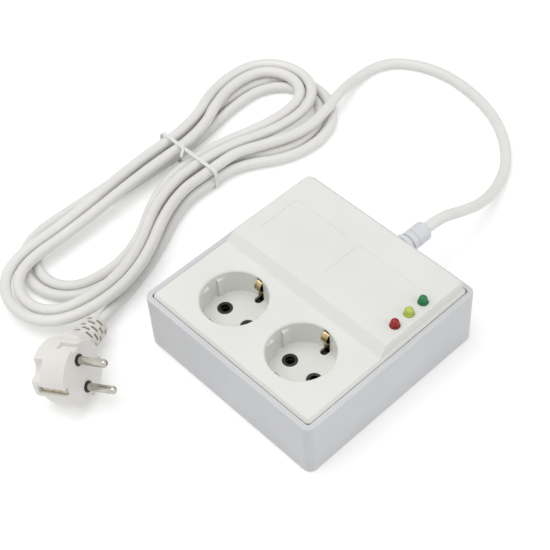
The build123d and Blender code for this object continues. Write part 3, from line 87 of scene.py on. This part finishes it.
# Cord, in millimetres: its points from the gland to the hank, and from the hank to the plug
CORD = 7.0
CORD_ORDER = 3
CORD_STEPS = 8
CORD_ROUNDNESS = 5
FLOOR_LANE = 3.6
UPPER_LANE = 11.2
CORD_POINTS = [
    (10.6, 85.3, 34.0),
    (10.6, 99.0, 34.0),
    (12.8, 115.5, 27.5),
    (9.8, 138.0, 14.5),
    (3.4, 161.5, 5.2),
    (-6.0, 183.5, 3.6),
    (-24.0, 202.5, 3.6),
    (-49.0, 217.0, 3.6),
    (-84.0, 223.5, 3.6),
    (-108.0, 219.5, 3.6),
    (-125.5, 209.5, 3.6),
    (-133.5, 196.0, 3.6),
    (-134.2, 180.0, 3.9),
    (-131.0, 165.0, 7.6),
    (-126.0, 150.0, 11.4),
    (-121.0, 134.0, 11.4),
    (-118.5, 117.0, 11.4),
    (-121.0, 100.0, 11.4),
    (-128.5, 83.0, 11.4),
]
CORD_ARRIVAL = 23.0
LEAD_DEPARTURE = 21.0
LEAD_POINTS = [
    (-127.0, 4.0, 3.6),
    (-117.0, -14.0, 3.6),
    (-108.0, -34.0, 3.6),
    (-102.0, -54.0, 3.6),
]

# Hank, in millimetres: four loops of eight stations each, spiralling in on the upper layer and out on the lower
# one. A pair holds the upper layer's value and the lower layer's.
LOOP_STATIONS = 8
HANK_START = 1
HANK_REVERSAL = 16
HANK_SINKING = 2
HANK_STATIONS = 33
HANK_MIDDLE = 2.0
LOOP_INNER = 21.6
LOOP_STEP = 7.95
WAIST_INNER = 3.6
WAIST_STEP = 10.2
APEX_STEP = 8.0
WAIST_Y = 43.0
WAIST_X = -158.0
WAIST_LIFT = 1.0
LEAD_LIFT = 4.4
SHOULDER_Y = (119.0, 115.0)
UPPER_LOBE_X = (-161.5, -148.0)
LOWER_LOBE_X = (-134.2, -147.0)
LOWER_LOBE_Y = (-78.0, -58.0)
PARALLEL = 0.001

# Plug: the middle of its pin face, its turns in degrees, and the strain relief beside it. The relief's
# distances run sideways from that middle, on an axis that lies RELIEF_BACK behind the face.
PLUG_AT = Vector((-60.4, -118.0, 23.0)) * MM
PLUG_YAW = 24.5
PLUG_PITCH = 14.3
PLUG_ROLL = 11.4
RELIEF_BACK = 16.5 * MM
RELIEF_NEAR = 24.0 * MM
RELIEF_FAR = 44.5 * MM
RELIEF_STRAIGHT = 12.0 * MM
RELIEF_NOSE = 3.5 * MM
RELIEF_LENGTH = RELIEF_FAR - RELIEF_NEAR - RELIEF_NOSE
RELIEF_RADII = (8.2 * MM, 6.85 * MM)
RELIEF_SIDES = 72
SLEEVE = 0.6 * MM
SLEEVE_WALL = 1.5 * SLEEVE
HOLLOW_STAND_OFF = 0.05 * MM
SLOT_ROWS = 5
SLOTS_AROUND = 6
SLOT_SHARE = 0.6
SMOOTH_UNDER = math.radians(30)


def linear(hex_colour):
    """An sRGB hex colour as linear red, green, blue and alpha."""
    channels = [int(hex_colour[i : i + 2], 16) / 255 for i in (1, 3, 5)]
    return [c / 12.92 if c <= 0.04045 else ((c + 0.055) / 1.055) ** 2.4 for c in channels] + [1.0]


def mixed(pair, share):
    """The value this share of the way from the first of a pair to the second."""
    return pair[0] + (pair[1] - pair[0]) * share


def add_node(tree, kind, inputs=(), **settings):
    """A node with its settings; inputs gives each socket a value or another node's output."""
    node = tree.nodes.new(kind)
    for name, value in settings.items():
        setattr(node, name, value)
    for socket, value in dict(inputs).items():
        if isinstance(value, bpy.types.NodeSocket):
            tree.links.new(value, node.inputs[socket])
        else:
            node.inputs[socket].default_value = value
    return node


def new_material(name):
    """A material with nothing in its tree but an output."""
    material = bpy.data.materials.new(name)
    material.use_nodes = True
    tree = material.node_tree
    tree.nodes.clear()
    output = add_node(tree, "ShaderNodeOutputMaterial")
    return material, tree, output


def moulded_plastic(name, pale, deep, roughness, grain_mm, grain_depth, sheen=0.5):
    """Moulded or dipped plastic: two close tones that drift over centimetres, and the mould's fine grain.

    The grain keeps about its real size. It is finer than a pixel from the camera, where it shows as an evenly
    matt surface, and shows as grain close up.
    """
    material, tree, output = new_material(name)
    place = add_node(tree, "ShaderNodeTexCoord").outputs["Object"]
    drift = add_node(tree, "ShaderNodeTexNoise", {"Vector": place, "Scale": 1 / DRIFT, "Detail": 3.0})
    tones = add_node(tree, "ShaderNodeValToRGB", {"Fac": drift.outputs["Fac"]})
    for stop, tone, position in zip(tones.color_ramp.elements, (deep, pale), DRIFT_TONES):
        stop.color = linear(tone)
        stop.position = position
    grain = add_node(tree, "ShaderNodeTexNoise", {"Vector": place, "Scale": 1 / (grain_mm * MM), "Detail": 2.0})
    least, most = (roughness + stray for stray in PLASTIC_GLOSS)
    gloss = add_node(tree, "ShaderNodeMapRange", {"Value": grain.outputs["Fac"], "To Min": least, "To Max": most})
    bump = add_node(
        tree,
        "ShaderNodeBump",
        {"Height": grain.outputs["Fac"], "Strength": grain_depth, "Distance": GRAIN_RELIEF},
    )
    shader = add_node(
        tree,
        "ShaderNodeBsdfPrincipled",
        {
            "Base Color": tones.outputs["Color"],
            "Roughness": gloss.outputs["Result"],
            "Normal": bump.outputs["Normal"],
            "IOR": PLASTIC_IOR,
            "Specular IOR Level": sheen,
        },
    )
    tree.links.new(shader.outputs["BSDF"], output.inputs["Surface"])
    return material


def sheet_metal(name, colour, worn, roughness, streak_mm=0.25):
    """Rolled or turned metal: a tone that dulls in patches of millimetres, and gloss that strays finely."""
    material, tree, output = new_material(name)
    place = add_node(tree, "ShaderNodeTexCoord").outputs["Object"]
    patches = add_node(tree, "ShaderNodeTexNoise", {"Vector": place, "Scale": 1 / PATCH, "Detail": 4.0})
    tones = add_node(tree, "ShaderNodeValToRGB", {"Fac": patches.outputs["Fac"]})
    for stop, tone, position in zip(tones.color_ramp.elements, (worn, colour), PATCH_TONES):
        stop.color = linear(tone)
        stop.position = position
    streaks = add_node(tree, "ShaderNodeTexNoise", {"Vector": place, "Scale": 1 / (streak_mm * MM), "Detail": 2.0})
    least, most = (roughness + stray for stray in METAL_GLOSS)
    gloss = add_node(tree, "ShaderNodeMapRange", {"Value": streaks.outputs["Fac"], "To Min": least, "To Max": most})
    shader = add_node(
        tree,
        "ShaderNodeBsdfPrincipled",
        {"Base Color": tones.outputs["Color"], "Metallic": 1.0, "Roughness": gloss.outputs["Result"]},
    )
    tree.links.new(shader.outputs["BSDF"], output.inputs["Surface"])
    return material


def cast_resin(name, pale, deep):
    """Tinted epoxy cast in a polished mould: clear gloss over a colour that deepens where it is seen edge on."""
    material, tree, output = new_material(name)
    edge = add_node(tree, "ShaderNodeLayerWeight", {"Blend": RESIN_EDGE})
    tint = add_node(
        tree,
        "ShaderNodeMix",
        {"Factor": edge.outputs["Facing"], MIX_FIRST_COLOUR: linear(pale), MIX_SECOND_COLOUR: linear(deep)},
        data_type="RGBA",
    )
    shader = add_node(
        tree,
        "ShaderNodeBsdfPrincipled",
        {
            "Base Color": tint.outputs[MIX_COLOUR_RESULT],
            "Roughness": RESIN_ROUGHNESS,
            "IOR": RESIN_IOR,
            "Specular IOR Level": RESIN_SHEEN,
        },
    )
    tree.links.new(shader.outputs["BSDF"], output.inputs["Surface"])
    return material


# Plastics: name, pale tone, deep tone, roughness, grain in millimetres, depth of the grain, and sheen if not
# 0.5. Metals: name, bright tone, worn tone, roughness, and streak in millimetres if not 0.25. Resins: name,
# tone seen face on, tone seen edge on.
FINISHES = {
    # Polystyrene from a coarse mould: matt; darker and cooler than the cover, partly painted wall shade
    "case_plastic": moulded_plastic("matt_white_polystyrene_case", "#d5d6d8", "#d0d1d3", 0.42, 0.35, 0.25),
    # Polystyrene from a finer mould: satin and warm white, with soft wide highlights
    "cover_plastic": moulded_plastic("satin_white_polystyrene_cover", "#ebece7", "#e7e8e3", 0.38, 0.35, 0.2),
    # Moulded polyamide: near black, so that the pin holes' rims read as dark rings
    "black_plastic": moulded_plastic("black_polyamide", "#131314", "#0c0c0d", 0.35, 0.3, 0.2),
    # Moulded polyamide: pale and slightly blue, which sets the gland off from the cover
    "gland_plastic": moulded_plastic("pale_grey_polyamide_gland", "#dfe1e4", "#d9dbdf", 0.4, 0.3, 0.2),
    # Extruded soft vinyl: warm white, with a long soft highlight down the cord
    "cord_sheath": moulded_plastic("white_soft_vinyl_sheath", "#eeedea", "#e8e7e3", 0.4, 0.5, 0.15),
    # Hard vinyl moulded over the plug: creamy white, a little glossier than the cord
    "plug_plastic": moulded_plastic("white_hard_vinyl_plug", "#eeece7", "#e9e7e2", 0.36, 0.4, 0.15),
    # Painted shade for the depth of the relief's slots: dull brown grey, with hardly a highlight
    "relief_hollow": moulded_plastic("painted_shade_vinyl_hollow", "#8d8a84", "#7d7a74", 0.6, 0.4, 0.1, 0.2),
    # Soft vinyl of the strain relief: creamier and duller than the plug
    "relief_plastic": moulded_plastic("white_soft_vinyl_relief", "#e6e3dc", "#dfdcd4", 0.42, 0.4, 0.15),
    # Plastic coat of a tie wire: clean white, satin
    "tie_plastic": moulded_plastic("white_coated_tie_wire", "#f0f0ef", "#e6e6e5", 0.35, 0.4, 0.2),
    # Zinc plating on turned steel: cool bright grey
    "steel_screws": sheet_metal("zinc_plated_steel", "#b9bbbe", "#9b9da0", 0.32),
    # Stamped brass: yellow metal, browner in patches where it has dulled
    "brass": sheet_metal("stamped_brass", "#a5884d", "#806636", 0.34),
    # Rolled spring brass: a muted yellow, paler and glossier than the stamped bars
    "spring_brass": sheet_metal("muted_spring_brass", "#b9a57a", "#8f7c57", 0.26),
    # Tinned brass strip: pale metal with hardly any yellow left
    "strip_brass": sheet_metal("tinned_brass_strip", "#cdc6b5", "#b3ab97", 0.28),
    # Glass fibre laminate under lacquer: even green, smooth
    "circuit_board": moulded_plastic("green_epoxy_laminate", "#2f6a45", "#285b3b", 0.3, 0.4, 0.1),
    # Moulded polyester: deep blue with clear highlights
    "relay_case": moulded_plastic("blue_gloss_polyester", "#23407a", "#1c356a", 0.25, 0.4, 0.1),
    # Stacked core sheets: dark grey and dull, in a coarser pattern than the other metals
    "core_steel": sheet_metal("laminated_core_steel", "#77787a", "#5c5d5f", 0.5, 0.5),
    # Wound polyester tape: solid yellow, smooth
    "coil_tape": moulded_plastic("yellow_polyester_tape", "#cdb04a", "#b99b38", 0.3, 0.4, 0.1),
    # Shrunk vinyl sleeve: blue black, smooth
    "capacitor_sleeve": moulded_plastic("dark_shrunk_sleeve", "#1d2330", "#151a26", 0.3, 0.4, 0.1),
    # Cast epoxy case: red brown, smooth
    "film_capacitor_case": moulded_plastic("red_brown_epoxy_case", "#9a3a2a", "#87301f", 0.3, 0.4, 0.1),
    # Dipped epoxy: strong blue and glossy, with a skin that isn't quite even
    "varistor_coat": moulded_plastic("blue_dipped_epoxy", "#2d4f9c", "#25438a", 0.25, 0.5, 0.2),
    # Moulded chip resin: black and dull
    "chip_resin": moulded_plastic("black_moulded_resin", "#202021", "#18181a", 0.45, 0.3, 0.2),
    # Baked lacquer: tan, smooth
    "resistor_coat": moulded_plastic("tan_lacquer", "#c7a873", "#b89760", 0.3, 0.4, 0.1),
    # Moulded polyamide: mid green, satin
    "terminal_plastic": moulded_plastic("green_polyamide_block", "#2c7a46", "#246a3b", 0.4, 0.4, 0.1),
    # Tinned bronze: bright, cool metal
    "tinned_metal": sheet_metal("tinned_bronze_clip", "#c4c5c7", "#a7a8aa", 0.3),
    # Extruded vinyl: brown, satin
    "wire_sleeve": moulded_plastic("brown_vinyl_wire", "#6b4a34", "#5c3e2b", 0.35, 0.4, 0.1),
    # Nickel plating on turned brass: a pale warm mirror that strays softly from end to end
    "plated_pins": sheet_metal("nickel_plated_brass_pin", "#c0bdb5", "#b4b0a7", 0.1, 1.2),
    # Cast resin of the lamps: strong clear colours with darker edges and a smooth gloss
    "lamp_red": cast_resin("red_cast_resin", "#a6060f", "#650409"),
    "lamp_yellow": cast_resin("yellow_green_cast_resin", "#c3d45a", "#93a636"),
    "lamp_green": cast_resin("green_cast_resin", "#118549", "#09552e"),
    # Drawn glass tube, shown opaque since it stays inside the case: pale, with hard highlights
    "fuse_glass": moulded_plastic("clear_fuse_glass", "#d5dcdc", "#c8d0d0", 0.08, 0.5, 0.05),
}


def dress(piece, finish):
    """Puts a finish on every material slot of a piece."""
    if not piece.data.materials:
        piece.data.materials.append(FINISHES[finish])
    for slot in piece.material_slots:
        slot.material = FINISHES[finish]


for entry in frame["record"]["subparts"]:
    dress(nodes[entry["node"]], entry["material_slot"])


def hank_station(number):
    """Place and heading of a station of the hank, counted from the upper layer's outermost shoulder."""
    spread = abs(HANK_MIDDLE - number / LOOP_STATIONS)
    sunk = min(max((number - HANK_REVERSAL) / HANK_SINKING, 0), 1)
    height = mixed((UPPER_LANE, FLOOR_LANE), sunk)
    over_lead = height + mixed((LEAD_LIFT, 0.0), sunk)
    shoulder_y = mixed(SHOULDER_Y, sunk)
    upper_x = mixed(UPPER_LOBE_X, sunk)
    lower_x = mixed(LOWER_LOBE_X, sunk)
    lower_y = mixed(LOWER_LOBE_Y, sunk)
    lobe = LOOP_INNER + LOOP_STEP * spread
    waist = WAIST_INNER + WAIST_STEP * spread
    reach = LOOP_INNER + APEX_STEP * spread
    places = [
        (upper_x + lobe, shoulder_y, height),
        (WAIST_X + waist, WAIST_Y, height + WAIST_LIFT),
        (lower_x + lobe, lower_y, over_lead),
        (lower_x, lower_y - reach, height),
        (lower_x - lobe, lower_y, height),
        (WAIST_X - waist, WAIST_Y, height + WAIST_LIFT),
        (upper_x - lobe, shoulder_y, height),
        (upper_x, shoulder_y + reach, height),
    ]
    headings = [(0, -1), (0, -1), (0, -1), (-1, 0), (0, 1), (0, 1), (0, 1), (1, 0)]
    return Vector(places[number % LOOP_STATIONS]), Vector(headings[number % LOOP_STATIONS] + (0,))


def hank_corners():
    """The control points of the hank's turns: two between each pair of stations, on both headings."""
    corners = []
    stations = [hank_station(number) for number in range(HANK_START, HANK_STATIONS + 1)]
    for (start, start_heading), (end, end_heading) in zip(stations, stations[1:]):
        chord = end - start
        bend = 2 * (1 - start_heading.dot(end_heading))
        along = chord.dot(start_heading + end_heading)
        if bend < PARALLEL:
            arm = chord.dot(chord) / (2 * along)
        else:
            arm = (math.sqrt(along**2 + bend * chord.dot(chord)) - along) / bend
        corners += [start + start_heading * arm, end - end_heading * arm]
    return corners


def smooth_cord(name, points, diameter):
    """A round cord along one smooth spline with these control points."""
    data = bpy.data.curves.new(name, "CURVE")
    data.dimensions = "3D"
    spline = data.splines.new("NURBS")
    spline.points.add(len(points) - 1)
    for point, place in zip(spline.points, points):
        point.co = (*place, 1.0)
    # The order and the end points are set once the points are there
    spline.order_u = CORD_ORDER
    spline.use_endpoint_u = True
    spline.resolution_u = CORD_STEPS
    data.bevel_depth = diameter / 2
    data.bevel_resolution = CORD_ROUNDNESS
    data.use_fill_caps = True
    piece = bpy.data.objects.new(name, data)
    bpy.context.collection.objects.link(piece)
    return piece


def centreline_length(piece):
    """The length of a curve's own line, read from a bare copy of it."""
    bare = piece.copy()
    bare.data = piece.data.copy()
    bare.data.bevel_depth = 0.0
    bpy.context.collection.objects.link(bare)
    bpy.context.view_layer.update()
    mesh = bpy.data.meshes.new_from_object(bare.evaluated_get(bpy.context.evaluated_depsgraph_get()))
    ends = [[mesh.vertices[number].co for number in edge.vertices] for edge in mesh.edges]
    total = sum((first - second).length for first, second in ends)
    bpy.data.objects.remove(bare, do_unlink=True)
    bpy.data.meshes.remove(mesh)
    return total


# The plug's frame: the pins look along plug_out, and the cord leaves against plug_side
plug_out = Vector((1, 0, 0))
plug_out.rotate(Matrix.Rotation(math.radians(-PLUG_PITCH), 3, "Y"))
plug_out.rotate(Matrix.Rotation(math.radians(PLUG_YAW), 3, "Z"))
plug_side = Vector((0, -1, 0))
plug_side.rotate(Matrix.Rotation(math.radians(PLUG_YAW), 3, "Z"))
plug_side.rotate(Matrix.Rotation(math.radians(-PLUG_ROLL), 3, plug_out))


def on_relief_axis(distance):
    """The point of the strain relief's axis this far sideways from the middle of the pin face."""
    return PLUG_AT - plug_side * distance - plug_out * RELIEF_BACK


def clear_selection(kind):
    """Leaves no vertex, edge or face of the active mesh selected, and sets which kind is selected next."""
    bpy.ops.object.mode_set(mode="EDIT")
    bpy.ops.mesh.select_mode(type=kind)
    bpy.ops.mesh.select_all(action="DESELECT")
    bpy.ops.object.mode_set(mode="OBJECT")


def relief_tube(name, stand_off, rings):
    """A tapered tube of this many rings, standing off from the CAD strain relief, still along the world's Z."""
    bpy.ops.object.select_all(action="DESELECT")
    bpy.ops.mesh.primitive_cylinder_add(
        vertices=RELIEF_SIDES,
        radius=1.0,
        depth=RELIEF_LENGTH,
        location=(0, 0, RELIEF_LENGTH / 2),
        end_fill_type="NOTHING",
    )
    tube = bpy.context.object
    tube.name = name
    bpy.ops.object.transform_apply(location=True, rotation=True, scale=True)
    clear_selection("EDGE")
    for edge in tube.data.edges:
        low, high = (tube.data.vertices[number].co.z for number in edge.vertices)
        edge.select = abs(high - low) > RELIEF_LENGTH / 2
    bpy.ops.object.mode_set(mode="EDIT")
    bpy.ops.mesh.subdivide(number_cuts=rings - 1)
    bpy.ops.object.mode_set(mode="OBJECT")
    for vertex in tube.data.vertices:
        radius = mixed(RELIEF_RADII, vertex.co.z / RELIEF_LENGTH) + stand_off
        vertex.co.x *= radius
        vertex.co.y *= radius
    return tube


def lay_along_relief(tube):
    """Turns and moves a tube's mesh from the world's Z onto the strain relief."""
    axes = (plug_out, plug_out.cross(plug_side), -plug_side, on_relief_axis(RELIEF_NEAR))
    tube.data.transform(Matrix([[axis[i] for axis in axes] for i in range(3)] + [[0, 0, 0, 1]]))


def relief_sleeve():
    """The strain relief's soft skin, with staggered rows of short slots through it."""
    rings = 2 * SLOT_ROWS + 1
    skin = relief_tube("relief_sleeve", SLEEVE, rings)
    ring_height = RELIEF_LENGTH / rings
    pitch = 360 / SLOTS_AROUND
    clear_selection("FACE")
    for face in skin.data.polygons:
        ring = int(face.center.z / ring_height)
        angle = math.degrees(math.atan2(face.center.y, face.center.x)) + pitch / 2 * (ring // 2 % 2)
        face.select = ring % 2 == 1 and angle % pitch < pitch * SLOT_SHARE
    bpy.ops.object.mode_set(mode="EDIT")
    bpy.ops.mesh.delete(type="FACE")
    bpy.ops.object.mode_set(mode="OBJECT")
    wall = skin.modifiers.new("wall", "SOLIDIFY")
    wall.thickness = SLEEVE_WALL
    wall.offset = -1.0
    bpy.ops.object.modifier_apply(modifier=wall.name)
    bpy.ops.object.shade_smooth_by_angle(angle=SMOOTH_UNDER)
    lay_along_relief(skin)
    return skin


sleeve = relief_sleeve()
dress(sleeve, "relief_plastic")
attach(sleeve, "case")

# What shows through the slots: a dark tube, painted shade for the relief's hollow
painted_shade_tube = relief_tube("relief_hollow", HOLLOW_STAND_OFF, 1)
bpy.ops.object.shade_smooth_by_angle(angle=SMOOTH_UNDER)
lay_along_relief(painted_shade_tube)
dress(painted_shade_tube, "relief_hollow")
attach(painted_shade_tube, "case")

# The mains cord: out of the gland, round the hank, and into the plug's strain relief
hank_begin = hank_station(HANK_START)[0]
hank_end = hank_station(HANK_STATIONS)[0]
cord_stops = [
    *CORD_POINTS,
    hank_begin + Vector((0, CORD_ARRIVAL, 0)),
    hank_begin + Vector((0, CORD, 0)),
    *hank_corners(),
    hank_end - Vector((0, CORD, 0)),
    hank_end - Vector((0, LEAD_DEPARTURE, 0)),
    *LEAD_POINTS,
]
cord_route = [Vector(point) * MM for point in cord_stops]
relief_end = on_relief_axis(RELIEF_FAR)
cord_route += [relief_end - plug_side * RELIEF_STRAIGHT, relief_end]
cord = smooth_cord("mains_cord", cord_route, CORD * MM)
dress(cord, "cord_sheath")
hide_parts("cord", "cord_hank", "cord_lead")
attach(cord, "case")
cord_length = centreline_length(cord)
print("cord length", round(cord_length, 3))

# Camera: back points from the object to the camera, right and up lie in the picture
azimuth, elevation, roll = (math.radians(angle) for angle in (CAMERA_AZIMUTH, CAMERA_ELEVATION, CAMERA_ROLL))
across = math.cos(elevation)
back = Vector((math.sin(azimuth) * across, -math.cos(azimuth) * across, math.sin(elevation)))
level = Vector((math.cos(azimuth), math.sin(azimuth), 0))
upright = back.cross(level)
right = math.cos(roll) * level + math.sin(roll) * upright
up = -math.sin(roll) * level + math.cos(roll) * upright
camera_data = bpy.data.cameras.new("camera")
camera_data.lens = CAMERA_LENS
camera_data.sensor_width = CAMERA_SENSOR
camera_data.clip_end = CAMERA_REACH
camera = bpy.data.objects.new("camera", camera_data)
bpy.context.collection.objects.link(camera)
camera.matrix_world = Matrix(
    [[right[i], up[i], back[i], CAMERA_PLACE[i]] for i in range(3)] + [[0, 0, 0, 1]]
)
bpy.context.scene.camera = camera

# Large square white lamps
for lamp_name, lamp_place, lamp_size, lamp_power in LAMPS:
    lamp_data = bpy.data.lights.new(lamp_name, "AREA")
    lamp_data.size = lamp_size
    lamp_data.energy = lamp_power
    lamp = bpy.data.objects.new(lamp_name, lamp_data)
    bpy.context.collection.objects.link(lamp)
    lamp.location = lamp_place
    lamp.rotation_euler = (-Vector(lamp_place)).to_track_quat("-Z", "Y").to_euler()


def seen_directly(tree):
    """1 where the floor or the world is seen by the camera, in gloss or through glass, else 0."""
    path = add_node(tree, "ShaderNodeLightPath").outputs
    mirrored = add_node(
        tree, "ShaderNodeMath", {0: path["Is Camera Ray"], 1: path["Is Glossy Ray"]}, operation="MAXIMUM"
    )
    return add_node(
        tree, "ShaderNodeMath", {0: mirrored.outputs[0], 1: path["Is Transmission Ray"]}, operation="MAXIMUM"
    ).outputs[0]


# Floor: white paper, which glows a little to the camera so that it shows white and keeps the soft shadow
floor_material, tree, output = new_material("white_paper_table")
diffuse = add_node(tree, "ShaderNodeBsdfDiffuse", {"Color": linear("#f4f4f4")})
glow = add_node(tree, "ShaderNodeMath", {0: seen_directly(tree), 1: FLOOR_GLOW}, operation="MULTIPLY")
lift = add_node(tree, "ShaderNodeEmission", {"Strength": glow.outputs[0]})
both = add_node(tree, "ShaderNodeAddShader", {0: diffuse.outputs[0], 1: lift.outputs[0]})
tree.links.new(both.outputs[0], output.inputs["Surface"])
bpy.ops.object.select_all(action="DESELECT")
bpy.ops.mesh.primitive_plane_add(size=FLOOR_SIZE, location=(0, 0, 0))
floor = bpy.context.object
floor.name = "floor"
floor.data.materials.append(floor_material)

# World: an even soft light, which shows as plain white where it is seen
world = bpy.data.worlds.new("studio")
world.use_nodes = True
bpy.context.scene.world = world
tree = world.node_tree
tree.nodes.clear()
output = add_node(tree, "ShaderNodeOutputWorld")
level_light = add_node(
    tree, "ShaderNodeMapRange", {"Value": seen_directly(tree), "To Min": WORLD_LIGHT, "To Max": WORLD_SEEN}
)
ambient = add_node(
    tree, "ShaderNodeBackground", {"Color": linear("#ffffff"), "Strength": level_light.outputs["Result"]}
)
tree.links.new(ambient.outputs["Background"], output.inputs["Surface"])

bpy.context.scene.view_settings.view_transform = "Standard"

# Every piece's place is brought up to date at the end
bpy.context.view_layer.update()
